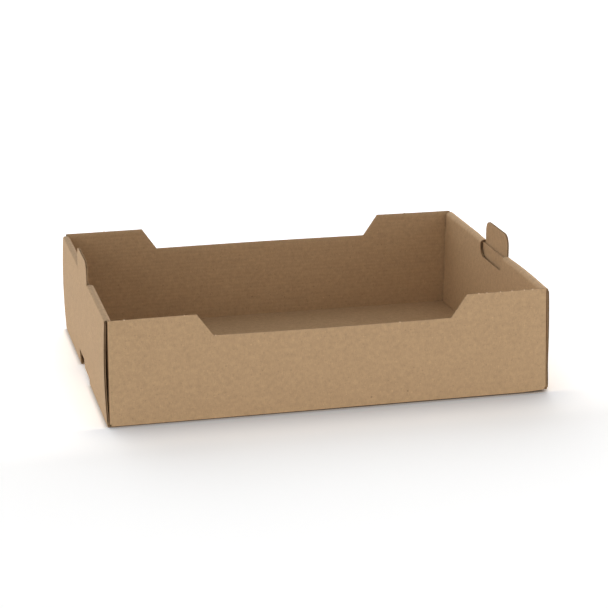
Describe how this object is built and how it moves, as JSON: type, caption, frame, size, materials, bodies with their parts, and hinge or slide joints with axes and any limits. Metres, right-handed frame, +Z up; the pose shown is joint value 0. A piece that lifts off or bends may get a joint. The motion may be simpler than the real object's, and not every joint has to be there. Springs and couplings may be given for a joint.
{
  "type": "cardboard tray box",
  "caption": "Low open stacking tray folded from corrugated board, with folded-over end walls, stacking tabs, base slots and long walls cut low in the middle.",
  "frame": {"origin": "middle of the underside, on the surface it stands on", "axes": "+X along the tray towards one end wall, +Y to the back long wall (the side where the outer slots are tall), +Z up"},
  "size_m": [0.403, 0.3062, 0.1158],
  "materials": {
    "kraft_board": "plain brown kraft liner, matt, faintly ribbed by the flutes"
  },
  "bodies": {
    "root": {"tray": "kraft_board"}
  },
  "joints": []
}
